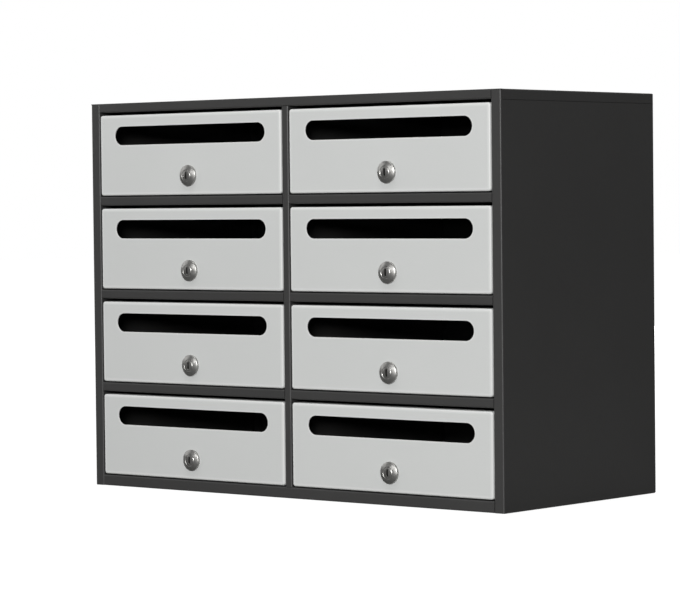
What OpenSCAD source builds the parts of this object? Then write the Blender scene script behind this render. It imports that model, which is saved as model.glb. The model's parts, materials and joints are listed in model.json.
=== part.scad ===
// Eight-door bank of letterboxes: a folded sheet-steel case, two columns by four rows, each
// compartment closed by a top-hinged pan door with a letter slot and a cam lock.
// Axes: +X to the right seen from the front, +Y to the back, +Z up.
// Origin: the middle of the underside of the base. The front face lies at -Y.

/* [Case] */
// Width over the side panels
case_w = 600; // [480:5:900]
// Height from the base to the top
case_h = 445; // [370:5:700]
// Depth from the face of the posts to the back panel
case_d = 280; // [200:5:450]
// Thickness of the case sheet
sheet_t = 1; // [0.8:0.1:1.2]
// Outer radius of the folds in the case sheet
fold_r = 1.6; // [1.4:0.1:2.5]
// Width of the flanges that the back panel lies on
rear_flange = 12; // [8:1:20]
// Height of the top panel's side flanges, down to the seam
lap_h = 11; // [8:0.5:20]
// Gap left at the seam under the top panel's side flanges
lap_gap = 0.5; // [0.3:0.1:1]
// Height of the joggled strip behind the seam, below it
lap_under = 8; // [5:1:20]

/* [Face bars] */
// Width of each outer post
post_w = 13; // [12:0.5:30]
// Width of the centre post between the columns
mullion_w = 9.5; // [9:0.5:20]
// Height of the top rail
top_rail_h = 10.2; // [8:0.1:30]
// Height of the bottom rail
bottom_rail_h = 12.5; // [10:0.1:40]
// Height of each rail between two rows
row_rail_h = 10.2; // [8:0.1:20]
// Depth of the posts' returns, from the face
post_return = 20; // [18:1:30]
// Depth of the rails' upper returns, from the face
rail_return = 18; // [16:0.5:26]
// Depth of the top rail's lower return, from the face
top_return = 12; // [6:1:20]
// Height of the door stop lip above the rails
stop_lip_h = 4; // [3:0.5:6]

/* [Doors] */
// Thickness of the door sheet
door_t = 1.2; // [0.8:0.1:1.5]
// Outer radius of the fold round the door
door_edge_r = 2; // [1.6:0.1:3]
// Radius of the door's corners, seen from the front
door_corner_r = 3.2; // [3:0.1:6]
// Gap at each side of a door
side_gap = 1.3; // [0.8:0.1:2]
// Gap under a door
bottom_gap = 1.2; // [1:0.1:2]
// Gap over a door, which lets its top edge turn
top_gap = 3.6; // [3:0.1:6]
// Gap between a closed door's rim and the stop lip
stop_clear = 0.5; // [0.3:0.1:1]

/* [Letter slot] */
// Distance from the slot's end to the door's side
slot_side = 23.8; // [15:0.1:60]
// Height of the slot
slot_h = 21.5; // [18:0.5:26]
// Distance from the door's top down to the middle of the slot
slot_drop = 24; // [20:0.5:28]

/* [Hinge pins] */
// Diameter of a pin
pin_d = 4; // [3:0.1:5]
// Radial running clearance of a pin in its door
pin_clear = 0.05; // [0.02:0.01:0.1]
// Distance of the pins behind the face
pin_back = 8; // [6:0.5:9]
// Distance of the pins below the door's top
pin_drop = 10; // [9:0.5:14]
// Length of a pin past the inside of the door's rim
pin_reach = 2.5; // [1.5:0.5:5]
// Diameter of a pin's head
pin_head_d = 7; // [6:0.5:8]
// Thickness of a pin's head
pin_head_t = 1.4; // [1:0.1:1.6]

/* [Cam lock] */
// Height of the lock above the door's bottom edge
lock_rise = 22; // [20:0.5:28]
// Diameter of the lock's round head
head_d = 24; // [22:0.5:28]
// Thickness of the head at its rim
head_rim = 2.4; // [1.5:0.1:4]
// Height of the head over the door at its middle
head_out = 5.5; // [4:0.1:7]
// Diameter of the threaded barrel
barrel_d = 19; // [16:0.5:20]
// Width across the barrel's two flats
barrel_flats = 16.4; // [14:0.1:17]
// Radial clearance of the barrel in the door
barrel_clear = 0.1; // [0:0.05:0.3]
// Diameter of the turning plug
plug_d = 12.4; // [10:0.1:12.6]
// Radial running clearance of the plug in the barrel
plug_clear = 0.05; // [0.02:0.01:0.1]
// Width of the key slot
keyway_w = 1.8; // [1.2:0.1:2.5]
// Height of the key slot
keyway_h = 8; // [6:0.1:9]
// Depth of the key slot
keyway_depth = 14; // [10:1:16]
// Width across the flats of the barrel's nut
nut_af = 24; // [22:0.5:26]
// Thickness of the barrel's nut
nut_t = 4; // [3:0.5:6]
// Thickness of the cam
cam_t = 2; // [1.5:0.1:3]
// Width of the cam
cam_w = 14; // [12:0.5:18]
// Gap between the stop lip and the cam
cam_clear = 1; // [0.5:0.1:2]
// Gap between the barrel's end and the cam
cam_gap = 0.4; // [0.3:0.1:1]
// Gap between the turned-down cam's tip and the sheet below it
cam_floor_clear = 2.4; // [1:0.1:4]
// Width of the plug's square tail, which drives the cam
tail_w = 7; // [6:0.1:8]
// Diameter of the cam screw
screw_d = 4; // [3:0.1:5]
// Length of the cam screw in the plug
screw_reach = 8; // [5:0.5:10]
// Diameter of the cam screw's head
screw_head_d = 10.5; // [10:0.5:12]
// Thickness of the cam screw's head
screw_head_t = 2.6; // [2:0.1:4]
// Width across the flats of the cam screw's hexagon socket
screw_socket_af = 3; // [2:0.1:4]

/* [Wall fixing] */
// Diameter of the holes in the back panel
fix_d = 8; // [5:0.5:10]
// Distance of the holes from the case's sides
fix_edge = 60; // [40:5:120]

/* [Colours] */
// Powder coat of the case
case_colour = "#424342"; // [#424342, #303030, #5a5c5a]
// Powder coat of the doors
door_colour = "#c6c7c6"; // [#c6c7c6, #d8d8d4, #a8aaa8]

/* [Hidden] */
$fn = 64;
COLUMNS = 2;
ROWS = 4;
COUNT = COLUMNS * ROWS;
over = 1;
nickel_colour = "#9b9a97";
zinc_colour = "#b3b1a6";

front_y = -case_d / 2;
opening_w = (case_w - 2 * post_w - mullion_w) / COLUMNS;
opening_h = (case_h - top_rail_h - bottom_rail_h - (ROWS - 1) * row_rail_h) / ROWS;
pitch = opening_h + row_rail_h;
post_x = case_w / 2 - post_w;
back_y = case_d - sheet_t;
notch_y = post_return + lap_gap;

door_w = opening_w - 2 * side_gap;
door_h = opening_h - bottom_gap - top_gap;
door_return = rail_return - sheet_t - stop_clear;
slot_w = door_w - 2 * slot_side;
pin_r = pin_d / 2;

cam_y = rail_return + cam_clear;
cam_reach = lock_rise + bottom_gap + min(row_rail_h, bottom_rail_h) - sheet_t - cam_floor_clear;
barrel_end = cam_y - cam_gap;
dome_r = (pow(head_d / 2, 2) + pow(head_out - head_rim, 2)) / (2 * (head_out - head_rim));
nut_points = 6;

function names(stem) = [for (i = [1:COUNT]) str(stem, "_", i)];

// Compartments are numbered from the top left, along each row
function column(i) = (i - 1) % COLUMNS;
function row(i) = floor((i - 1) / COLUMNS);
function door_x(i) = (column(i) - (COLUMNS - 1) / 2) * (opening_w + mullion_w);
function opening_z(i) = case_h - top_rail_h - opening_h - row(i) * pitch;
function door_z(i) = opening_z(i) + bottom_gap;

// A quarter ring between two legs of a folded sheet, about the origin, from +x round to +y
module quarter_bend(outer_r, thickness) {
    intersection() {
        difference() {
            circle(r = outer_r);
            circle(r = outer_r - thickness);
        }
        square(outer_r);
    }
}

// A folded sheet seen end on. It lies to the left of path, whose turns are all left and square
module folded(path, thickness, outer_r) {
    last = len(path) - 2;
    for (i = [0:last]) {
        run = path[i + 1] - path[i];
        heading = run / norm(run);
        side = [-heading.y, heading.x];
        from = i == 0 ? 0 : outer_r;
        to = norm(run) - (i == last ? 0 : outer_r);
        translate(path[i] + heading * from)
            rotate(atan2(heading.y, heading.x))
                square([to - from, thickness]);
        if (i < last)
            translate(path[i + 1] + (side - heading) * outer_r)
                rotate(atan2(-heading.x, heading.y))
                    quarter_bend(outer_r, thickness);
    }
}

// Carries a profile of depth and height along X, between two places
module along_x(from, to) {
    translate([from, front_y, 0])
        rotate([90, 0, 90])
            linear_extrude(to - from)
                children();
}

// Stands a plan of width and depth up in Z, between two heights
module upright(from, to) {
    translate([0, front_y, from])
        linear_extrude(to - from)
            children();
}

// A block given by its lowest corner and size, with depths counted from the face
module block(corner, size) {
    translate([corner.x, front_y + corner.y, corner.z])
        cube(size);
}

// A round bar along +X or -X, at a depth from the face and a height
module bar_x(from, length, depth, height, radius) {
    translate([from, front_y + depth, height])
        rotate([0, 90, 0])
            cylinder(h = length, r = radius);
}

// A round bar along +Y at a place on the face, between two depths
module bar_y(x, height, from, to, radius, points = $fn) {
    translate([x, front_y + from, height])
        rotate([-90, 0, 0])
            cylinder(h = to - from, r = radius, $fn = points);
}

module top_panel() {
    skirt = [
        [case_w / 2, case_h - lap_h],
        [case_w / 2, case_h],
        [-case_w / 2, case_h],
        [-case_w / 2, case_h - lap_h]
    ];
    rail = [
        [back_y, case_h - rear_flange],
        [back_y, case_h],
        [0, case_h],
        [0, case_h - top_rail_h],
        [top_return, case_h - top_rail_h]
    ];
    skirt_y = 2 * fold_r;
    inner_x = case_w / 2 - rear_flange - fold_r;
    color(case_colour) {
        translate([0, front_y + back_y, 0])
            rotate([90, 0, 0])
                linear_extrude(back_y - skirt_y)
                    folded(skirt, sheet_t, fold_r);
        block([-case_w / 2, 0, case_h - sheet_t], [case_w, skirt_y, sheet_t]);
        difference() {
            along_x(-post_x, post_x)
                folded(rail, sheet_t, fold_r);
            for (side = [-1, 1])
                block(
                    [side * (inner_x + case_w / 4) - case_w / 4, back_y - over - fold_r, case_h - rear_flange - over],
                    [case_w / 2, over + fold_r + over, rear_flange + over - fold_r]
                );
        }
    }
}

// The floor of the case, folded up into the bottom rail, with the door stop lip on its return
module bottom_panel() {
    floor_x = case_w / 2 - sheet_t;
    profile = [
        [rail_return, bottom_rail_h],
        [0, bottom_rail_h],
        [0, 0],
        [back_y, 0],
        [back_y, rear_flange]
    ];
    color(case_colour)
        difference() {
            union() {
                along_x(-floor_x, floor_x)
                    folded(profile, sheet_t, fold_r);
                for (side = [0, 1])
                    mirror([side, 0, 0])
                        stop_lip(mullion_w / 2, post_x, bottom_rail_h);
            }
            for (side = [-1, 1]) {
                block(
                    [side * (post_x + case_w / 4) - case_w / 4, -over, -over],
                    [case_w / 2, notch_y + over, bottom_rail_h + stop_lip_h + 2 * over]
                );
                block(
                    [side * (case_w / 2 - rear_flange - fold_r + case_w / 4) - case_w / 4, back_y - fold_r, -over],
                    [case_w / 2, fold_r + over, rear_flange + 2 * over]
                );
            }
        }
}

// The upstand at the back of a rail's return, which a closed door's rim rests against
module stop_lip(from, to, height) {
    block([from, rail_return - sheet_t, height - sheet_t], [to - from, sheet_t, stop_lip_h + sheet_t]);
}

// The right-hand side, folded into the post at the front and joggled inwards above the seam
module side_panel() {
    plan = [
        [post_x, post_return],
        [post_x, 0],
        [case_w / 2, 0],
        [case_w / 2, back_y],
        [case_w / 2 - rear_flange, back_y]
    ];
    seam_z = case_h - lap_h - lap_gap;
    skirt_y = 2 * fold_r - lap_gap;
    difference() {
        union() {
            upright(0, case_h - sheet_t)
                folded(plan, sheet_t, fold_r);
            block(
                [case_w / 2 - 2 * sheet_t, sheet_t, seam_z - lap_under],
                [sheet_t, back_y - 2 * sheet_t, case_h - sheet_t - seam_z + lap_under]
            );
        }
        block([case_w / 2 - sheet_t, skirt_y, seam_z], [over + sheet_t, case_d, case_h]);
        block([case_w / 2 - 2 * sheet_t, skirt_y, case_h - fold_r], [over + 2 * sheet_t, case_d, case_h]);
        for (i = [COLUMNS:COLUMNS:COUNT])
            bar_x(post_x - over, sheet_t + 2 * over, pin_back, door_z(i) + door_h - pin_drop, pin_r);
    }
}

module left_side() {
    color(case_colour)
        mirror([1, 0, 0])
            side_panel();
}

module right_side() {
    color(case_colour)
        side_panel();
}

module back_panel() {
    edge = lap_gap;
    color(case_colour)
        difference() {
            block([edge - case_w / 2, back_y, edge], [case_w - 2 * edge, sheet_t, case_h - 2 * edge]);
            for (x = [fix_edge - case_w / 2, case_w / 2 - fix_edge])
                for (i = [1, COUNT])
                    bar_y(x, opening_z(i) + opening_h / 2, back_y - over, case_d + over, fix_d / 2);
        }
}

// The channel that forms the centre post between the top and bottom rails
module mullion() {
    plan = [
        [-mullion_w / 2, post_return],
        [-mullion_w / 2, 0],
        [mullion_w / 2, 0],
        [mullion_w / 2, post_return]
    ];
    color(case_colour)
        difference() {
            upright(bottom_rail_h, case_h - top_rail_h)
                folded(plan, sheet_t, fold_r);
            for (i = [1:COLUMNS:COUNT])
                bar_x(-mullion_w, 2 * mullion_w, pin_back, door_z(i) + door_h - pin_drop, pin_r);
        }
}

// The wall between the columns, from inside the centre post to the back
module centre_divider() {
    plan = [
        [sheet_t / 2, pin_back + pin_head_d],
        [sheet_t / 2, back_y],
        [-rear_flange, back_y]
    ];
    color(case_colour)
        difference() {
            upright(sheet_t, case_h - sheet_t)
                folded(plan, sheet_t, fold_r);
            for (z = [-over, case_h - top_rail_h])
                block([-case_w / 4, -over, z], [case_w / 2, notch_y + over, bottom_rail_h + over]);
            for (z = [-over, case_h - rear_flange])
                block(
                    [-case_w / 4, back_y - fold_r - sheet_t, z],
                    [case_w / 2, fold_r + 2 * sheet_t, rear_flange + over]
                );
        }
}

// The two shelves under one row, each folded up into its rail and stop lip at the front
module shelf(i) {
    z = opening_z(i * COLUMNS) - row_rail_h;
    shelf_y = back_y - fold_r;
    profile = [
        [rail_return, z + row_rail_h],
        [0, z + row_rail_h],
        [0, z],
        [shelf_y, z],
        [shelf_y, z + rear_flange]
    ];
    inner_x = sheet_t / 2;
    outer_x = case_w / 2 - sheet_t;
    flange_y = [notch_y, shelf_y - fold_r];
    color(case_colour)
        for (side = [0, 1])
            mirror([side, 0, 0]) {
                difference() {
                    union() {
                        along_x(inner_x, outer_x)
                            folded(profile, sheet_t, fold_r);
                        stop_lip(mullion_w / 2, post_x, z + row_rail_h);
                    }
                    block([inner_x - over, -over, z - over], [mullion_w / 2 - inner_x + over, notch_y + over, case_h]);
                    block([post_x, -over, z - over], [post_w, notch_y + over, case_h]);
                }
                for (x = [inner_x, outer_x - sheet_t])
                    block([x, flange_y[0], z], [sheet_t, flange_y[1] - flange_y[0], rear_flange]);
            }
}

// Headed pins, held in the posts' returns, on which the doors turn
module hinge_pins() {
    reach = sheet_t + side_gap + door_t + pin_reach;
    color(zinc_colour)
        for (i = [1:COUNT])
            for (side = [-1, 1])
                translate([door_x(i) + side * (opening_w / 2 + sheet_t), 0, 0])
                    mirror([side < 0 ? 1 : 0, 0, 0]) {
                        bar_x(-reach, reach, pin_back, door_z(i) + door_h - pin_drop, pin_r);
                        bar_x(0, pin_head_t, pin_back, door_z(i) + door_h - pin_drop, pin_head_d / 2);
                    }
}

// The door's section at its edge: flat face, fold and rim, measured from the corner's centre
module rim_section() {
    flat = door_corner_r - door_edge_r;
    square([flat, door_t]);
    translate([flat, door_edge_r])
        rotate(-90)
            quarter_bend(door_edge_r, door_t);
    translate([door_corner_r - door_t, door_edge_r])
        square([door_t, door_return - door_edge_r]);
}

// The blank pan about its middle: a flat face with a folded rim on all four sides
module door_pan() {
    run_w = door_w - 2 * door_corner_r;
    run_h = door_h - 2 * door_corner_r;
    rotate([-90, 0, 0]) {
        translate([-run_w / 2, -run_h / 2, 0])
            cube([run_w, run_h, door_t]);
        for (turn = [0, 1]) {
            length = turn == 0 ? run_w : run_h;
            offset_y = (turn == 0 ? run_h : run_w) / 2;
            for (half = [0, 180])
                rotate(turn * 90 + half)
                    translate([-length / 2, -offset_y, 0])
                        mirror([0, 1, 0])
                            rotate([90, 0, 90])
                                linear_extrude(length)
                                    rim_section();
        }
        for (x = [-1, 1])
            for (y = [-1, 1])
                translate([x * run_w / 2, y * run_h / 2, 0])
                    rotate(y > 0 ? (x > 0 ? 0 : 90) : (x > 0 ? 270 : 180))
                        rotate_extrude(angle = 90)
                            rim_section();
    }
}

module letter_slot() {
    straight = slot_w - slot_h;
    translate([-straight / 2, -over, -slot_h / 2])
        cube([straight, door_t + 2 * over, slot_h]);
    for (x = [-straight / 2, straight / 2])
        translate([x, -over, 0])
            rotate([-90, 0, 0])
                cylinder(h = door_t + 2 * over, r = slot_h / 2);
}

// The barrel's outline: a circle with two flats, so that the lock can't turn in the door
module barrel_outline(clearance) {
    intersection() {
        circle(r = barrel_d / 2 + clearance);
        square([barrel_flats + 2 * clearance, 2 * barrel_d], center = true);
    }
}

// Puts a lock piece, drawn about its own axis with depth along +Z, at its place in door i
module at_lock(i) {
    translate([door_x(i), front_y, door_z(i) + lock_rise])
        rotate([-90, 0, 0])
            children();
}

module door(i) {
    color(door_colour)
        difference() {
            translate([door_x(i), front_y, door_z(i) + door_h / 2])
                door_pan();
            translate([door_x(i), front_y, door_z(i) + door_h - slot_drop])
                letter_slot();
            at_lock(i)
                translate([0, 0, -over])
                    linear_extrude(door_t + 2 * over)
                        barrel_outline(barrel_clear);
            bar_x(
                door_x(i) - door_w / 2 - over, door_w + 2 * over,
                pin_back, door_z(i) + door_h - pin_drop, pin_r + pin_clear
            );
        }
}

// Domed head and threaded barrel in one casting, bored through for the plug
module lock_housing(i) {
    color(nickel_colour)
        at_lock(i)
            difference() {
                union() {
                    head();
                    linear_extrude(barrel_end)
                        barrel_outline(0);
                }
                translate([0, 0, -2 * head_out])
                    cylinder(h = 2 * head_out + barrel_end + over, r = plug_d / 2 + plug_clear);
            }
}

// The domed disc in front of the door, about the lock's axis
module head() {
    mirror([0, 0, 1])
        rotate_extrude()
            intersection() {
                square([head_d / 2, head_out]);
                translate([0, head_out - dome_r])
                    circle(r = dome_r, $fn = 4 * $fn);
            }
}

module lock_nut(i) {
    color(zinc_colour)
        at_lock(i)
            translate([0, 0, door_t])
                difference() {
                    cylinder(h = nut_t, r = nut_af / 2 / cos(180 / nut_points), $fn = nut_points);
                    translate([0, 0, -over])
                        cylinder(h = nut_t + 2 * over, r = barrel_d / 2);
                }
}

// The turning core: key slot in front, square tail and screw hole behind
module lock_plug(i) {
    plug_r = plug_d / 2;
    color(nickel_colour)
        at_lock(i)
            difference() {
                union() {
                    intersection() {
                        head();
                        translate([0, 0, -head_out])
                            cylinder(h = head_out, r = plug_r);
                    }
                    cylinder(h = barrel_end, r = plug_r);
                    translate([-tail_w / 2, -tail_w / 2, barrel_end])
                        cube([tail_w, tail_w, cam_gap + cam_t]);
                }
                translate([-keyway_w / 2, -keyway_h / 2, -head_out - over])
                    cube([keyway_w, keyway_h, keyway_depth + over]);
                translate([0, 0, cam_y + cam_t - screw_reach])
                    cylinder(h = screw_reach + over, r = screw_d / 2);
            }
}

// The arm behind the door: level when the lock is open, turned down behind the rail when locked
module lock_cam(i) {
    arm = cam_reach - cam_w / 2;
    color(zinc_colour)
        at_lock(i)
            translate([0, 0, cam_y])
                difference() {
                    union() {
                        cylinder(h = cam_t, r = cam_w / 2);
                        translate([arm, 0, 0])
                            cylinder(h = cam_t, r = cam_w / 2);
                        translate([0, -cam_w / 2, 0])
                            cube([arm, cam_w, cam_t]);
                    }
                    translate([-tail_w / 2, -tail_w / 2, -over])
                        cube([tail_w, tail_w, cam_t + 2 * over]);
                }
}

module cam_screw(i) {
    color(zinc_colour)
        at_lock(i)
            translate([0, 0, cam_y + cam_t])
                difference() {
                    union() {
                        translate([0, 0, -screw_reach])
                            cylinder(h = screw_reach, r = screw_d / 2);
                        cylinder(h = screw_head_t, r = screw_head_d / 2);
                    }
                    translate([0, 0, screw_head_t / 2])
                        cylinder(h = screw_head_t, r = screw_socket_af / 2 / cos(180 / nut_points), $fn = nut_points);
                }
}

top_panel();
bottom_panel();
left_side();
right_side();
back_panel();
mullion();
centre_divider();
hinge_pins();
for (i = [1:ROWS - 1])
    shelf(i);
for (i = [1:COUNT]) {
    door(i);
    lock_housing(i);
    lock_nut(i);
    lock_plug(i);
    lock_cam(i);
    cam_screw(i);
}
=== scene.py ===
# %% [markdown]
# # A bank of eight letterboxes
#
# This is the finished look of a steel letterbox unit: a dark folded case, eight pale doors with letter
# slots, and a cam lock in each door. The working model, with its joints, is loaded first and stays
# where it is. The case's own sheets are good as they are and only get a paint. The doors and the lock
# parts are worked out again here as fine surfaces, with the small roundings that catch the light.
#
# Everything is in metres. +X is to the right seen from the front, +Y to the back, +Z up.

# %% Load the working model
import json
import math

import bpy
import numpy as np
from mathutils import Matrix, Vector


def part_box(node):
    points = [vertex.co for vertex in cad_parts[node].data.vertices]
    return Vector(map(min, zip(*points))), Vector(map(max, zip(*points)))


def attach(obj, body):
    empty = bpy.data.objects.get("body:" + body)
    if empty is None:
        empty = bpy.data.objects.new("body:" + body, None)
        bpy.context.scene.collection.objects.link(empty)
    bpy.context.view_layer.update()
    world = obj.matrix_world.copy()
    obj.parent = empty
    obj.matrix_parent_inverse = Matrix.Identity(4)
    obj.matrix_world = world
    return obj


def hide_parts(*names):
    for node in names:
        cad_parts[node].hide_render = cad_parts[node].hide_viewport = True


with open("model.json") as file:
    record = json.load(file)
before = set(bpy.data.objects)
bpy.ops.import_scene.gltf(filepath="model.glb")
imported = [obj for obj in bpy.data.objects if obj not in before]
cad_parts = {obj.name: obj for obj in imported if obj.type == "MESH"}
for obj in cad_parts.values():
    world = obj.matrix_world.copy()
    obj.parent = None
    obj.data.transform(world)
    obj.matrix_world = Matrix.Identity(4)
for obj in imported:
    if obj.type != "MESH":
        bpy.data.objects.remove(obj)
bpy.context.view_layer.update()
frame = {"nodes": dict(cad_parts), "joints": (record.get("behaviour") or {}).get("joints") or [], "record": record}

record = frame["record"]
joints = {joint["name"]: joint for joint in frame["joints"]}
openings = {opening["name"]: opening["box_m"] for opening in record["physics"]["openings"]}

# %% [markdown]
# ## Sizes
#
# Where a door is comes from its own box, where its slot is comes from the stated opening, and the lock
# turns about its joint's axis. What a box doesn't tell, such as a radius or a sheet's thickness, is
# named here once.

# %% Sizes that the boxes don't tell
MM = 0.001
DOOR_SHEET = 1.2 * MM
DOOR_FOLD = 2.0 * MM
DOOR_CORNER = 3.2 * MM
CUT_EDGE = 0.28 * MM
# Width of the band over which the door's painted edge highlight fades out onto its faces.
EDGE_HIGHLIGHT_BAND = 2.4 * MM
SLOT_HEIGHT = 21.5 * MM
SLOT_SIDE = 23.8 * MM
HEAD_RADIUS = 12.0 * MM
HEAD_RIM = 2.4 * MM
HEAD_OUT = 5.5 * MM
BARREL_RADIUS = 9.5 * MM
BARREL_FLAT = 8.2 * MM
THREAD_PITCH = 1.0 * MM
THREAD_DEPTH = 0.45 * MM
PLUG_RADIUS = 6.2 * MM
PLUG_CLEARANCE = 0.05 * MM
TAIL_HALF = 3.5 * MM
KEYWAY_HALF = 3.1 * MM
KEYWAY_RADIUS = 0.9 * MM
KEYWAY_DEPTH = 8.0 * MM
PLUG_SUNK = 0.2 * MM
NUT_FLATS = 24.0 * MM
NUT_CHAMFER = 0.9 * MM
SOCKET_FLATS = 3.0 * MM
SOCKET_DEPTH = 1.5 * MM
SCREW_RADIUS = 2.0 * MM
CAM_EDGE = 0.4 * MM
DOORS = range(1, 9)

# %% [markdown]
# ## Surfaces made of loops
#
# Almost every piece here can be described as a row of closed loops, one after another, like the hoops
# of a barrel. If all loops have the same number of points, the whole piece is one grid: across it runs
# the loop's number, along it the point's number. Faces join each point to its neighbours, so no face
# has to be placed by hand. The last loop either joins the first, as on a ring, or both ends are closed
# with a fan of triangles.

# %% From loops to a mesh
def loops_to_piece(name, loops, ring=True, marks=None, places=None, crease=38):
    """Joins loops, an array of loop by point by (x, y, z), into a closed surface whose faces look outwards.
    Face (i, j) has the corners (i, j), (i, j+1), (i+1, j+1) and (i+1, j), with j taken round the loop.
    marks holds, by name, a number for every loop or every point, which a finish can read. places, if given,
    are shifts: the surface is repeated at each of them. An edge is sharp where its faces meet at more than
    crease degrees."""
    rows, columns, _ = loops.shape
    points = loops.reshape(-1, 3)
    row = np.arange(rows if ring else rows - 1)[:, None]
    column = np.arange(columns)[None, :]
    after = (row + 1) % rows
    beside = (column + 1) % columns
    here, there = row * columns, after * columns
    corners = (here + column, here + beside, there + beside, there + column)
    quads = np.stack(corners, axis=-1).reshape(-1, 4)
    fans = np.empty((0, 3), int)
    if not ring:
        first, last = len(points), len(points) + 1
        points = np.vstack([points, loops[0].mean(0), loops[-1].mean(0)])
        column, beside = column[0], beside[0]
        low = (rows - 1) * columns
        start_fan = np.stack([beside, column, np.full(columns, first)], axis=-1)
        end_fan = np.stack([low + column, low + beside, np.full(columns, last)], axis=-1)
        fans = np.vstack([start_fan, end_fan])
    if places is not None:
        jump = np.arange(len(places))[:, None, None] * len(points)
        quads, fans = (quads + jump).reshape(-1, 4), (fans + jump).reshape(-1, 3)
        points = (points + np.asarray(places)[:, None]).reshape(-1, 3)
    mesh = bpy.data.meshes.new(name)
    mesh.from_pydata(points.tolist(), [], quads.tolist() + fans.tolist())
    if enclosed_volume(mesh) < 0:
        mesh.flip_normals()
    mesh.shade_smooth()
    mesh.set_sharp_from_angle(angle=math.radians(crease))
    for label, values in (marks or {}).items():
        values = np.broadcast_to(np.asarray(values, float).reshape(rows, -1), (rows, columns)).ravel()
        values = np.append(values, [values[0], values[-1]])[: len(points)]
        mesh.attributes.new(label, "FLOAT", "POINT").data.foreach_set("value", values.astype(np.float32))
    piece = bpy.data.objects.new(name, mesh)
    bpy.context.scene.collection.objects.link(piece)
    return piece


def enclosed_volume(mesh):
    """Adds up, over all triangles, a sixth of the corner a dotted with b cross c. It is positive if the
    faces look outwards."""
    mesh.calc_loop_triangles()
    index = np.empty(len(mesh.loop_triangles) * 3, np.int32)
    mesh.loop_triangles.foreach_get("vertices", index)
    place = np.empty(len(mesh.vertices) * 3)
    mesh.vertices.foreach_get("co", place)
    a, b, c = place.reshape(-1, 3)[index.reshape(-1, 3)].transpose(1, 0, 2)
    return float((a * np.cross(b, c)).sum() / 6)


# %% [markdown]
# A section is drawn as a few corners, and each corner is then rounded by an arc that touches both of
# its sides. The tighter the radius, the thinner the line of light that the edge catches.

# %% Round the corners of a section
def soften(corners, radii, steps=5):
    """Replaces each inner corner of an open outline by an arc of its radius r. With half the corner's angle
    h, the arc starts r / tan(h) along each side, and its centre lies r / sin(h) along the line that halves
    the corner."""
    corners = np.asarray(corners, float)
    out = [corners[:1]]
    for before, here, after, radius in zip(corners, corners[1:], corners[2:], radii):
        back = (before - here) / np.linalg.norm(before - here)
        on = (after - here) / np.linalg.norm(after - here)
        half = math.acos(np.clip(back @ on, -1, 1)) / 2
        middle = (back + on) / np.linalg.norm(back + on)
        centre = here + middle * radius / math.sin(half)
        start = here + back * radius / math.tan(half) - centre
        end = here + on * radius / math.tan(half) - centre
        sweep = math.pi - 2 * half
        share = np.linspace(0, 1, steps)[:, None]
        arc = np.sin((1 - share) * sweep) * start + np.sin(share * sweep) * end
        out.append(centre + arc / math.sin(sweep))
    out.append(corners[-1:])
    return np.vstack(out)


# %% [markdown]
# ## The doors
#
# Each door is a shallow pan pressed from one sheet. Seen from the front, its outline is a rectangle
# with rounded corners, and every loop of the pan is that outline drawn in by some distance. Round the
# letter slot the loops are stadiums: all points at one distance from a short level line. A point of the
# outline and its partner on the slot lie on the shortest way from the outline to that line, so the flat
# face between them never folds over itself.

# %% Outline loops of a pan
def rectangle_loop(width, height, radius, points=(64, 24), corner=9):
    """A rounded rectangle about (0, 0), anticlockwise: quarter circles at the corners, straight runs
    between. points gives how many points a level and an upright run have between their ends."""
    turn = np.linspace(0, math.pi / 2, corner)
    runs = []
    for quarter in range(4):
        side = np.array([1 if quarter in (0, 3) else -1, 1 if quarter < 2 else -1])
        centre = side * (np.array([width, height]) / 2 - radius)
        angle = turn + quarter * math.pi / 2
        runs.append(centre + radius * np.stack([np.cos(angle), np.sin(angle)], axis=-1))
    out = []
    for quarter, arc in enumerate(runs):
        follow = runs[(quarter + 1) % 4][0]
        share = np.linspace(0, 1, points[quarter % 2] + 2)[1:-1, None]
        out += [arc, arc[-1] + share * (follow - arc[-1])]
    return np.vstack(out)


def stadium_loop(towards, half, radius):
    """Points at a distance radius from the level line of half-length half, each on the way to its partner in
    towards."""
    base = np.stack([np.clip(towards[:, 0], -half, half), np.zeros(len(towards))], axis=-1)
    way = towards - base
    return base + radius * way / np.linalg.norm(way, axis=1, keepdims=True)


def upright_loop(middle, xz, depth):
    """Stands a flat loop up about a middle: its second coordinate becomes z, and y is the depth behind the
    middle."""
    return np.stack([xz[:, 0], np.full(len(xz), depth), xz[:, 1]], axis=-1) + np.asarray(middle)


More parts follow.
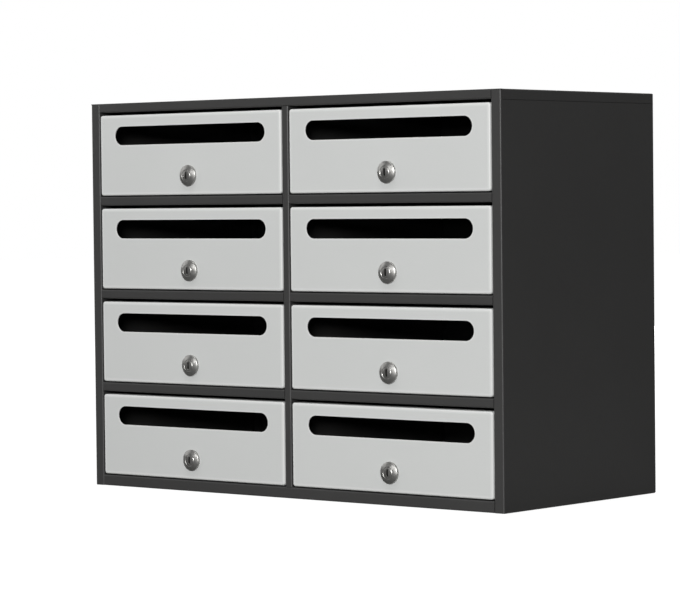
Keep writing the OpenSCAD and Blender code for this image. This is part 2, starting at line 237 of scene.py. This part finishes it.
# %% One door
def make_door(number):
    """Loops in the order of the sheet's skin: over the slot's cut edge to the face, across it, round the
    fold, down the rim, round its cut edge and back along the inside."""
    low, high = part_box(f"door_{number}")
    width, height, depth = high.x - low.x, high.z - low.z, high.y - low.y
    slot_low, slot_high = np.array(openings[f"letter_slot_{number}"])
    slot_z = (slot_low[2] + slot_high[2]) / 2 - (low.z + high.z) / 2
    slot_radius = SLOT_HEIGHT / 2
    half = width / 2 - SLOT_SIDE - slot_radius
    lip = soften([(2 * CUT_EDGE, DOOR_SHEET), (0, DOOR_SHEET), (0, 0), (2 * CUT_EDGE, 0)], [CUT_EDGE] * 2)
    inward = 1.2 * DOOR_FOLD
    outer = [(inward, 0), (0, 0), (0, depth)]
    inner = [(DOOR_SHEET, depth), (DOOR_SHEET, DOOR_SHEET), (inward, DOOR_SHEET)]
    rim = soften(outer + inner, [DOOR_FOLD, CUT_EDGE, CUT_EDGE, DOOR_FOLD - DOOR_SHEET], steps=8)
    shift = np.array([0, slot_z])

    def outline(inset):
        return rectangle_loop(width - 2 * inset, height - 2 * inset, max(DOOR_CORNER - inset, CUT_EDGE))

    def slot(offset):
        return stadium_loop(outline(DOOR_FOLD) - shift, half, slot_radius + offset) + shift

    def across(first, last, y):
        return [((1 - share) * first + share * last, y, 0) for share in np.linspace(0, 1, 8)]

    # Each hoop's third value marks the door's painted edge highlight: 1 on the cut edges and round the fold, 0
    # across the faces.
    hoops = [(slot(offset), y, 1) for offset, y in lip]
    hoops += across(slot(EDGE_HIGHLIGHT_BAND), outline(DOOR_FOLD + EDGE_HIGHLIGHT_BAND), 0)
    hoops += [(outline(inset), y, 1) for inset, y in rim]
    hoops += across(outline(2 * DOOR_FOLD), slot(EDGE_HIGHLIGHT_BAND), DOOR_SHEET)
    middle = ((low.x + high.x) / 2, low.y, (low.z + high.z) / 2)
    loops = np.array([upright_loop(middle, xz, y) for xz, y, _ in hoops])
    piece = loops_to_piece(f"door_pan_{number}", loops, marks={"edge": [edge for _, _, edge in hoops]})
    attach(piece, f"door_{number}_leaf")
    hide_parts(f"door_{number}")
    return piece


doors = [make_door(number) for number in DOORS]
print("doors:", len(doors), "with", len(doors[0].data.polygons), "faces each")

# %% [markdown]
# ## The cam locks
#
# Round parts are loops about the lock's axis. A plain turned part has the same radius all the way round
# a loop. Flats, hexagons and squares only limit that radius: the point at the angle a goes out to the
# smaller of the turned radius and the distance at which its ray meets the flat. A screw thread lets the
# radius rise and fall once a turn while the loops move along.

# %% Loops about a lock's axis
POINTS = 72
ANGLE = np.arange(POINTS) * 2 * math.pi / POINTS


def across_flats(flats, count):
    """The distance from the axis to the side of a regular polygon, at every angle of a loop."""
    step = 2 * math.pi / count
    return flats / 2 / np.cos((ANGLE + step / 2) % step - step / 2)


def turned(centre, radii, depths):
    """Loops about an axis along Y: x = radius * cos(angle), z = radius * sin(angle), and y is the depth
    behind the face."""
    radii = np.broadcast_to(radii, (len(radii), POINTS))
    depths = np.broadcast_to(np.asarray(depths, float).reshape(len(radii), -1), radii.shape)
    x, z = radii * np.cos(ANGLE), radii * np.sin(ANGLE)
    return np.stack([x, depths, z], axis=-1) + np.asarray(centre)


def distance_from(centre, loops):
    """The distance of each point from a lock's axis, in millimetres: sqrt(x * x + z * z)."""
    return np.hypot(loops[..., 0] - centre[0], loops[..., 2] - centre[2]) / MM


def place_on(piece, body, node):
    """Lets a piece move with a body and stand in for a node of the working model."""
    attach(piece, body)
    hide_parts(node)
    return piece


# %% [markdown]
# The head is a shallow dome: part of a big ball. The ball's radius follows from how far the head stands
# out at its middle and at its rim, by Pythagoras. The same ball shapes the plug's face.

# %% Domed head and threaded barrel
DOME_RISE = HEAD_OUT - HEAD_RIM
DOME_RADIUS = (HEAD_RADIUS**2 + DOME_RISE**2) / (2 * DOME_RISE)


def dome(radius):
    """How far the dome stands out at a distance from its axis: out - R + sqrt(R * R - radius * radius)."""
    return HEAD_OUT - DOME_RADIUS + np.sqrt(DOME_RADIUS**2 - np.asarray(radius) ** 2)


def make_housing(number, centre):
    """From the bore's edge over the dome and its rim, along the threaded barrel and back through the bore.
    The thread is a wave, one pitch long, that moves on by a pitch for a turn of the loop. It fades at the
    barrel's end."""
    barrel_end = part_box(f"lock_housing_{number}")[1].y - centre[1]
    bore = PLUG_RADIUS + PLUG_CLEARANCE
    skin = np.linspace(bore + 0.5 * MM, HEAD_RADIUS - 0.7 * MM, 12)
    face = np.stack([skin, -dome(skin)], axis=-1)
    rim = soften(
        [(skin[-1], -dome(skin[-1])), (HEAD_RADIUS, -HEAD_RIM), (HEAD_RADIUS, 0), (BARREL_RADIUS, 0)],
        [0.6 * MM, 0.2 * MM],
    )[1:]
    turns = np.arange(0.2 * MM, barrel_end, THREAD_PITCH / 6)
    wave = np.abs(((turns[:, None] / THREAD_PITCH - ANGLE / (2 * math.pi)) % 1) - 0.5) * 2
    fade = np.clip((barrel_end - turns[:, None]) / MM, 0.3, 1)
    threaded = BARREL_RADIUS - THREAD_DEPTH * wave - (1 - fade) * MM
    flats = BARREL_FLAT / np.maximum(np.abs(np.cos(ANGLE)), 1e-6)
    barrel = np.minimum(threaded, flats)
    lathe = np.vstack([face, rim])
    mouth = (bore, -dome(bore) + 0.4 * MM)
    inside = [(BARREL_FLAT - MM, barrel_end), (bore, barrel_end), mouth, (skin[0], -dome(skin[0]))]
    ends = soften(inside, [0.2 * MM, 0.1 * MM])
    loops = np.vstack([
        turned(centre, lathe[:, :1], lathe[:, 1]),
        turned(centre, barrel, turns),
        turned(centre, ends[:-1, :1], ends[:-1, 1]),
    ])
    piece = loops_to_piece(f"housing_{number}", loops, marks={"ring": distance_from(centre, loops)})
    return place_on(piece, f"door_{number}_leaf", f"lock_housing_{number}")


# %% Turning plug with its key slot
def make_plug(number, centre):
    """From the bottom of the key slot out to the face, over the plug's edge, along its side and to the
    square tail. The plug's face is sunk a little below the dome round it."""
    barrel_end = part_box(f"lock_housing_{number}")[1].y - centre[1]
    tail_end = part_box(f"lock_plug_{number}")[1].y - centre[1]
    circle = np.stack([np.cos(ANGLE), np.sin(ANGLE)], axis=-1) * PLUG_RADIUS
    upright = circle[:, ::-1]

    def key_loop(grow):
        return stadium_loop(upright, KEYWAY_HALF, KEYWAY_RADIUS + grow)[:, ::-1]

    def lifted(xz, depth):
        return np.stack([xz[:, 0], np.broadcast_to(depth, len(xz)), xz[:, 1]], axis=-1) + np.asarray(centre)

    out = -dome(PLUG_RADIUS) + PLUG_SUNK
    slot = [(0.4 * key_loop(0), KEYWAY_DEPTH), (key_loop(-0.1 * MM), KEYWAY_DEPTH)]
    slot.append((key_loop(0), out + 0.5 * MM))
    loops = [lifted(xz, depth) for xz, depth in slot]
    loops.append(lifted(key_loop(0.05 * MM), out - 0.1 * MM))
    for share in np.linspace(0, 1, 7):
        xz = (1 - share) * key_loop(0.3 * MM) + share * circle * 0.95
        loops.append(lifted(xz, -dome(np.linalg.norm(xz, axis=1)) + PLUG_SUNK))
    loops.append(lifted(circle, out + 0.3 * MM))
    loops.append(lifted(circle, barrel_end))
    square = np.minimum(across_flats(2 * TAIL_HALF, 4), 1.3 * TAIL_HALF)
    tail = turned(centre, np.array([square, square, 0.5 * square]), [barrel_end, tail_end, tail_end])
    loops = np.vstack([np.array(loops), tail])
    # The loops inside the key slot are marked for painted shade, which the nickel finish darkens to near black.
    grime = np.zeros(len(loops))
    grime[: len(slot)] = 1
    marks = {"ring": distance_from(centre, loops), "grime": grime}
    piece = loops_to_piece(f"plug_{number}", loops, ring=False, marks=marks)
    return place_on(piece, f"plug_{number}_turning", f"lock_plug_{number}")


# %% Nut, cam and screw behind the door
def make_nut(number, centre):
    """A hexagon whose corners are turned off by a cone at both faces, round a plain bore."""
    low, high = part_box(f"lock_nut_{number}")
    front, back = low.y - centre[1], high.y - centre[1]
    hexagon = across_flats(NUT_FLATS, 6)
    tip = NUT_FLATS / 2 / math.cos(math.pi / 6)
    bore = BARREL_RADIUS + 0.02 * MM
    lead = 0.5 * MM
    side = [(bore, lead), (bore + lead, 0), (0.97 * NUT_FLATS / 2, 0), (tip, NUT_CHAMFER)]
    sections = [(limit, front + depth) for limit, depth in side]
    sections += [(limit, back - depth) for limit, depth in side[::-1]]
    radii = np.array([np.minimum(hexagon, limit) for limit, _ in sections])
    depths = [depth for _, depth in sections]
    piece = loops_to_piece(f"nut_{number}", turned(centre, radii, depths), crease=18)
    return place_on(piece, f"door_{number}_leaf", f"lock_nut_{number}")


def make_cam(number, centre):
    """A flat bar with round ends. Each point of its outline has its partner in the square hole on the same
    ray."""
    low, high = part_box(f"lock_cam_{number}")
    width = high.z - low.z
    arm = high.x - centre[0] - width / 2

    def outline_in(inset):
        length, across = arm + width - 2 * inset, width - 2 * inset
        return rectangle_loop(length, across, width / 2 - inset - 1e-6, points=(24, 0), corner=13)

    outline = outline_in(0)
    edge = soften([(MM, low.y), (0, low.y), (0, high.y), (MM, high.y)], [CAM_EDGE] * 2)
    rings = [(outline_in(inset), y) for inset, y in edge]
    ray = np.arctan2(outline[:, 1], outline[:, 0] + arm / 2)
    reach = TAIL_HALF / np.maximum(np.abs(np.cos(ray)), np.abs(np.sin(ray)))
    hole = np.stack([reach * np.cos(ray) - arm / 2, reach * np.sin(ray)], axis=-1)
    rings += [(hole, high.y), (hole, low.y)]
    middle = (centre[0] + arm / 2, 0, centre[2])
    loops = np.array([upright_loop(middle, xz, y) for xz, y in rings])
    piece = loops_to_piece(f"cam_{number}", loops)
    return place_on(piece, f"plug_{number}_turning", f"lock_cam_{number}")


def make_screw(number, centre):
    """From the bottom of the hexagon socket over the head's rounded edge to the end of the shank."""
    low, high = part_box(f"cam_screw_{number}")
    head_radius = (high.x - low.x) / 2
    start, end = low.y - centre[1], high.y - centre[1]
    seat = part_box(f"lock_cam_{number}")[1].y - centre[1]
    socket = across_flats(SOCKET_FLATS, 6)
    chamfer = 0.2 * MM
    tip = 0.4 * MM
    section = [(0.6 * head_radius, end), (head_radius, end), (head_radius, seat), (SCREW_RADIUS, seat)]
    head = soften(section, [0.9 * MM, 0.3 * MM])
    profile = [(0.5 * socket, end - SOCKET_DEPTH), (socket, end - SOCKET_DEPTH), (socket, end - chamfer)]
    profile += [(socket + chamfer, end), *head, (SCREW_RADIUS, start + tip), (SCREW_RADIUS - tip, start)]
    radii = np.array([np.broadcast_to(radius, POINTS) for radius, _ in profile])
    depths = [depth for _, depth in profile]
    piece = loops_to_piece(f"screw_{number}", turned(centre, radii, depths), ring=False)
    return place_on(piece, f"plug_{number}_turning", f"cam_screw_{number}")


nickel_pieces, zinc_pieces = [], []
for number in DOORS:
    axis_at = joints[f"lock_{number}_turn"]["pos_m"]
    nickel_pieces += [make_housing(number, axis_at), make_plug(number, axis_at)]
    zinc_pieces += [make_nut(number, axis_at), make_cam(number, axis_at), make_screw(number, axis_at)]
print("lock pieces:", len(nickel_pieces) + len(zinc_pieces))

# %% [markdown]
# ## Spot welds on the back
#
# The back panel lies on narrow flanges of the case, the shelves and the divider, and is spot welded to
# them. The electrodes leave a shallow dish inside a low ring, which the paint covers but doesn't hide.
# One profile turned about a level axis is worked out once and repeated at every weld.

# %% Where the welds are, and their shape
WELD_RADIUS = 2.4 * MM
WELD_RISE = 0.18 * MM
WELD_SPACING = 75 * MM
WELD_INSET = 5.5 * MM
WELD_APART = 12 * MM


def weld_line(first, last):
    """Points from first to last in steps as near to the usual spacing as an even division allows."""
    first, last = np.asarray(first), np.asarray(last)
    steps = round(float(np.linalg.norm(last - first)) / WELD_SPACING)
    return first + np.linspace(0, 1, steps + 1)[:, None] * (last - first)


def make_welds():
    """All welds as one piece: lines of them along the case's flanges, the shelves and the divider, without
    the ones that would fall beside another. The profile holds shares of the ring's radius and height."""
    low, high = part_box("back_panel")
    left, right = low.x + WELD_INSET, high.x - WELD_INSET
    bottom, top = low.z + WELD_INSET, high.z - WELD_INSET
    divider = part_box("centre_divider")[0].x + WELD_INSET
    levels = [bottom, top] + [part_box(f"shelf_{shelf}")[0].z + WELD_INSET for shelf in (1, 2, 3)]
    lines = [weld_line((left, level), (right, level)) for level in levels]
    lines += [weld_line((x, bottom), (x, top)) for x in (left, divider, right)]
    kept = []
    for spot in np.vstack(lines):
        if all(np.linalg.norm(spot - other) > WELD_APART for other in kept):
            kept.append(spot)
    dish = [(0.15, 0.1), (0.6, 0.12), (0.78, 0.55)]
    rim = [(0.9, 1), (1.05, 0.9), (1.2, 0.3), (1.35, 0.05), (1.4, -1)]
    profile = np.array(dish + rim)
    loops = turned((0, high.y, 0), profile[:, :1] * WELD_RADIUS, profile[:, 1] * WELD_RISE)
    places = [(x, 0, z) for x, z in kept]
    welds = loops_to_piece("spot_welds", loops, ring=False, places=places)
    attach(welds, "case")
    print("welds:", len(places))
    return welds


welds = make_welds()

# %% [markdown]
# ## Finishes
#
# A finish is a small graph of nodes. Two helpers keep it readable: a value that can be added, scaled
# and mixed with plain arithmetic, and one method that makes any node from its type, its settings and
# what goes into its sockets.

# %% Sums on surfaces
class Amount:
    """A number that varies over a surface. Arithmetic on it adds Math nodes."""

    def __init__(self, finish, socket):
        self.finish, self.socket = finish, socket

    def sum_with(self, operation, other):
        return self.finish.node("ShaderNodeMath", {"operation": operation}, {0: self, 1: other})

    def __add__(self, other):
        return self.sum_with("ADD", other)

    def __sub__(self, other):
        return self.sum_with("SUBTRACT", other)

    def __mul__(self, other):
        return self.sum_with("MULTIPLY", other)

    __radd__ = __add__
    __rmul__ = __mul__

    def between(self, low, high):
        """0 below low, 1 above high and a smooth step between them."""
        inputs = {"Value": self, "From Min": low, "From Max": high}
        return self.finish.node("ShaderNodeMapRange", {"interpolation_type": "SMOOTHSTEP"}, inputs)


class Finish:
    """A material being built round one Principled shader."""

    def __init__(self, name, **constants):
        self.material = bpy.data.materials.new(name)
        self.material.use_nodes = True
        self.tree = self.material.node_tree
        self.shader = self.tree.nodes["Principled BSDF"]
        for socket, value in constants.items():
            self.shader.inputs[socket.replace("_", " ").title().replace("Ior", "IOR")].default_value = value
        self.place = self.node("ShaderNodeTexCoord", output="Object")

    def node(self, kind, settings=None, inputs=None, output=0):
        """Makes any node from its type, its settings and its sockets' values, and gives one output."""
        node = self.tree.nodes.new(kind)
        for name, value in (settings or {}).items():
            setattr(node, name, value)
        for name, value in (inputs or {}).items():
            self.feed(node.inputs[name], value)
        return Amount(self, node.outputs[output])

    def feed(self, socket, value):
        if isinstance(value, Amount):
            self.tree.links.new(value.socket, socket)
        elif isinstance(value, (int, float)) or len(value) == len(socket.default_value):
            socket.default_value = value
        else:
            socket.default_value = (*value, 1.0)

    def mark(self, label):
        """A number that a piece's own surface carries under this name, or 0 if it has none."""
        return self.node("ShaderNodeAttribute", {"attribute_name": label}, output="Fac")

    def noise(self, scale, detail=2.0, roughness=0.5):
        inputs = {"Vector": self.place, "Scale": scale, "Detail": detail, "Roughness": roughness}
        return self.node("ShaderNodeTexNoise", None, inputs)

    def mix(self, share, first, second):
        return self.node("ShaderNodeMix", {"data_type": "RGBA"}, {0: share, 6: first, 7: second}, output=2)

    def bump(self, height, distance, strength=1.0, under=None):
        inputs = {"Height": height, "Distance": distance, "Strength": strength}
        if under is not None:
            inputs["Normal"] = under
        return self.node("ShaderNodeBump", None, inputs)

    def use(self, **inputs):
        for socket, value in inputs.items():
            self.feed(self.shader.inputs[socket.replace("_", " ").title()], value)
        return self.material


# %% [markdown]
# Powder coat is a skin of baked plastic. Close up it has the fine ripple of orange peel, and where the
# powder fell thicker or thinner the gloss changes a little. Large sheets are never quite flat, so a
# broad, very low wave bends the reflections. Hands leave a duller bloom here and there. On the doors
# the folds and the slot's edge get a painted highlight: a shade lighter and a little glossier there.
# The same recipe serves the dark case and the pale doors.

# %% Powder coats
def powder_coat(name, colour, shade, roughness, peel, edge=None):
    coat = Finish(name, ior=1.5)
    cloud = coat.noise(5.0, detail=3.0)
    speck = coat.noise(1400.0, detail=1.0)
    ripple = coat.noise(520.0, detail=2.0)
    sheet = coat.noise(7.0, detail=1.0)
    bloom = coat.noise(38.0, detail=4.0, roughness=0.6).between(0.42, 0.72)
    tone = cloud * 0.7 + speck * 0.3
    colours = coat.mix(tone.between(0.3, 0.7), shade, colour)
    gloss = roughness + 0.035 * (bloom - 0.5) + 0.05 * (speck - 0.5)
    # Painted highlight: where a piece marks its edges, the colour turns lighter and the gloss rises, as if the
    # rounded edges caught the light.
    if edge is not None:
        painted_highlight_share = coat.mark("edge")
        colours = coat.mix(painted_highlight_share, colours, edge)
        gloss = gloss - 0.05 * painted_highlight_share
    low = coat.bump(sheet, 0.4 * MM, strength=0.5)
    skin = coat.bump(ripple, peel, strength=0.6, under=low)
    return coat.use(base_color=colours, roughness=gloss, normal=skin)


CHARCOAL, CHARCOAL_SHADE = (0.0390, 0.0386, 0.0380), (0.0345, 0.0341, 0.0336)
PALE_GREY, PALE_GREY_SHADE = (0.565, 0.575, 0.565), (0.548, 0.558, 0.549)
# The lighter pale grey painted along the door's folds and slot edge as a painted highlight.
PALE_GREY_PAINTED_HIGHLIGHT = (0.625, 0.633, 0.622)
case_coat = powder_coat("charcoal_powder_coat", CHARCOAL, CHARCOAL_SHADE, 0.42, 0.14 * MM)
door_coat = powder_coat("light_grey_powder_coat", PALE_GREY, PALE_GREY_SHADE, 0.36, 0.12 * MM, PALE_GREY_PAINTED_HIGHLIGHT)

# %% [markdown]
# Nickel on a die-cast head is bright but soft. The head was turned on a lathe before plating, so very
# fine rings run round it, and fingers leave a dull bloom. The inside of the key slot gets painted shade:
# it is darkened to near black. Clear zinc on the small parts behind the door is greyer and blotched.

# %% Plated metals
def nickel_plate():
    plate = Finish("nickel_plate", metallic=1.0)
    bloom = plate.noise(300.0, detail=4.0, roughness=0.6).between(0.35, 0.75)
    turned_rings = {"W": plate.mark("ring"), "Scale": 9.0, "Detail": 2.0}
    rings = plate.node("ShaderNodeTexNoise", {"noise_dimensions": "1D"}, turned_rings)
    colours = plate.mix(bloom, (0.44, 0.436, 0.420), (0.33, 0.327, 0.315))
    # Painted shade: the inside of the key slot, as marked on the plug, is darkened to near black.
    colours = plate.mix(plate.mark("grime"), colours, (0.03, 0.03, 0.028))
    skin = plate.bump(rings, 0.012 * MM, strength=0.5)
    return plate.use(base_color=colours, roughness=0.31 + 0.12 * bloom, normal=skin)


def zinc_plate():
    plate = Finish("zinc_plate", metallic=1.0)
    spangle = plate.node("ShaderNodeTexVoronoi", None, {"Vector": plate.place, "Scale": 700.0})
    stain = plate.noise(160.0, detail=4.0)
    colours = plate.mix(stain.between(0.3, 0.7), (0.58, 0.58, 0.55), (0.42, 0.42, 0.40))
    skin = plate.bump(stain, 0.03 * MM, strength=0.4)
    return plate.use(base_color=colours, roughness=0.34 + 0.14 * spangle, normal=skin)


nickel, zinc = nickel_plate(), zinc_plate()

# %% [markdown]
# Pieces of the working model that are shown as they are take their finish in place of the plain one
# that they came with.

# %% Give every piece its finish
def paint(piece, material):
    piece.data.materials.clear()
    piece.data.materials.append(material)


paint(welds, case_coat)
for door in doors:
    paint(door, door_coat)
for piece in nickel_pieces:
    paint(piece, nickel)
for piece in zinc_pieces:
    paint(piece, zinc)
by_slot = {
    "case_powder_coat": case_coat,
    "door_powder_coat": door_coat,
    "lock_nickel": nickel,
    "zinc_hardware": zinc,
}
for part in record["subparts"]:
    for holder in frame["nodes"][part["node"]].material_slots:
        holder.material = by_slot[part["material_slot"]]
print("finishes:", [material.name for material in by_slot.values()])

# %% [markdown]
# ## Camera, floor and light
#
# The camera stands to the right of the unit, a little above its middle, with a long lens, so that the
# sides run together only slowly. The floor is pale and plain, and glows a little to the camera alone, so
# that it looks white but throws little light up at the unit. The main soft box stands on the camera's
# side. The domed locks send its light away to the right, so a small one in front gives them their glint
# and a broad dim one on the left a soft shine. One box overhead lights the floor and one behind the back.

# %% Camera
CAMERA_TURN = math.radians(40.26)
CAMERA_DROP = math.radians(1.91)
CAMERA_LEAN = math.radians(0.61)
CAMERA_DISTANCE = 3.526
CAMERA_AIM = Vector((-0.0236, -0.0205, 0.2145))
LENS_MM = 163.4


def look_from(aim, turn, drop, lean, distance):
    """A camera placed back along its line of sight, which is turned about Z, lowered by drop and leant about
    itself."""
    ahead = Vector((-math.sin(turn) * math.cos(drop), math.cos(turn) * math.cos(drop), -math.sin(drop)))
    level = Vector((math.cos(turn), math.sin(turn), 0))
    upright = level.cross(ahead)
    right = math.cos(lean) * level - math.sin(lean) * upright
    up = math.cos(lean) * upright + math.sin(lean) * level
    matrix = Matrix((right, up, -ahead)).transposed().to_4x4()
    matrix.translation = aim - distance * ahead
    return matrix


lens = bpy.data.cameras.new("camera")
lens.lens, lens.sensor_width, lens.sensor_fit = LENS_MM, 36.0, "HORIZONTAL"
lens.clip_end = 100.0
camera = bpy.data.objects.new("camera", lens)
camera.matrix_world = look_from(CAMERA_AIM, CAMERA_TURN, CAMERA_DROP, CAMERA_LEAN, CAMERA_DISTANCE)
bpy.context.scene.collection.objects.link(camera)
bpy.context.scene.camera = camera
print("camera at", [round(value, 3) for value in camera.matrix_world.translation])

# %% Floor
FLOOR_RADIUS = 14.0
FLOOR_GLOW = (0.92, 0.92, 0.92)
FLOOR_DULL, FLOOR_PALE = (0.11, 0.11, 0.11), (0.13, 0.13, 0.13)
FLOOR_CLEAR = (0.8, 2.5)
FLOOR_POINTS = 96


def make_floor():
    """A wide round sheet just under the unit: rings of one height about the origin."""
    rings = np.array([0.02, 1.0]) * FLOOR_RADIUS
    turn = np.arange(FLOOR_POINTS) * 2 * math.pi / FLOOR_POINTS
    level = np.full(FLOOR_POINTS, -0.5 * MM)
    top = [np.stack([radius * np.cos(turn), radius * np.sin(turn), level], axis=-1) for radius in rings]
    under = [loop - (0, 0, 10 * MM) for loop in top[::-1]]
    return loops_to_piece("floor", np.array(top + under), ring=False)


floor = make_floor()
ground = Finish("pale_floor", roughness=0.9)
seen = ground.node("ShaderNodeLightPath", output="Is Camera Ray")
distance = ground.node("ShaderNodeVectorMath", {"operation": "LENGTH"}, {0: ground.place}, output="Value")
away = distance.between(*FLOOR_CLEAR)
glow = ground.mix(seen, (0, 0, 0), ground.mix(away, FLOOR_GLOW, (1, 1, 1)))
ground.shader.inputs["Emission Strength"].default_value = 1.0
shade = ground.noise(1.5, detail=2.0)
paint(floor, ground.use(base_color=ground.mix(shade, FLOOR_DULL, FLOOR_PALE), emission_color=glow))

# %% Lights
SKY_STRENGTH = 0.14


def softbox(name, place, aim, size, power):
    """A rectangular light, size metres wide and high, that looks from its place at its aim."""
    light = bpy.data.lights.new(name, "AREA")
    light.shape, light.energy = "RECTANGLE", power
    light.size, light.size_y = size
    lamp = bpy.data.objects.new(name, light)
    ahead = (Vector(aim) - Vector(place)).normalized()
    lamp.matrix_world = Matrix.Translation(place) @ ahead.to_track_quat("-Z", "Y").to_matrix().to_4x4()
    bpy.context.scene.collection.objects.link(lamp)


softbox("main_box", (2.6, -4.5, 1.5), (0, 0, 0.2), (1.5, 1.5), 232)
softbox("glint_box", (-0.2, -3.2, 1.35), (0, 0, 0.2), (0.85, 0.85), 9.5)
softbox("top_box", (0, -0.2, 3.4), (0, 0, 0), (2.6, 2.6), 80)
softbox("left_box", (-3.0, -1.1, 1.5), (0, 0, 0.2), (2.0, 2.0), 12)
softbox("back_box", (-1.6, 4.0, 0.6), (0, 0, 0.2), (1.8, 1.2), 75)

world = bpy.data.worlds.new("sky")
world.use_nodes = True
bpy.context.scene.world = world
sky = world.node_tree.nodes
path, pick = sky.new("ShaderNodeLightPath"), sky.new("ShaderNodeMixShader")
fill, white = sky.new("ShaderNodeBackground"), sky.new("ShaderNodeBackground")
for background, strength in ((fill, SKY_STRENGTH), (white, 1.0)):
    background.inputs["Color"].default_value = (1, 1, 1, 1)
    background.inputs["Strength"].default_value = strength
links = world.node_tree.links
links.new(path.outputs["Is Camera Ray"], pick.inputs[0])
links.new(fill.outputs[0], pick.inputs[1])
links.new(white.outputs[0], pick.inputs[2])
links.new(pick.outputs[0], sky["World Output"].inputs["Surface"])
bpy.context.scene.view_settings.view_transform = "Standard"
